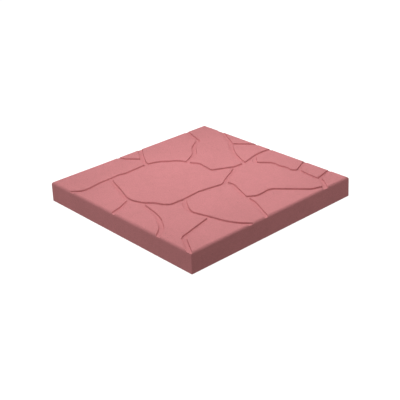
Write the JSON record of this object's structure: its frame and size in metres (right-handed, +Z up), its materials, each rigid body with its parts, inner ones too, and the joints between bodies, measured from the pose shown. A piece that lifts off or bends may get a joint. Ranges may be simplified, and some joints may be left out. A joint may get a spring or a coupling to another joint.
{
  "type": "concrete paving slab",
  "caption": "Flat square concrete slab for paths and patios, with a face moulded to look like irregular flagstones with open joints.",
  "frame": {"origin": "middle of the flat bed, the underside that the slab is laid on", "axes": "+Z up, from the bed to the moulded face; X and Y along the sides of the square"},
  "size_m": [0.3, 0.3, 0.03],
  "materials": {
    "dyed_concrete": "matte"
  },
  "bodies": {
    "root": {"paving_slab": "dyed_concrete"}
  },
  "joints": []
}
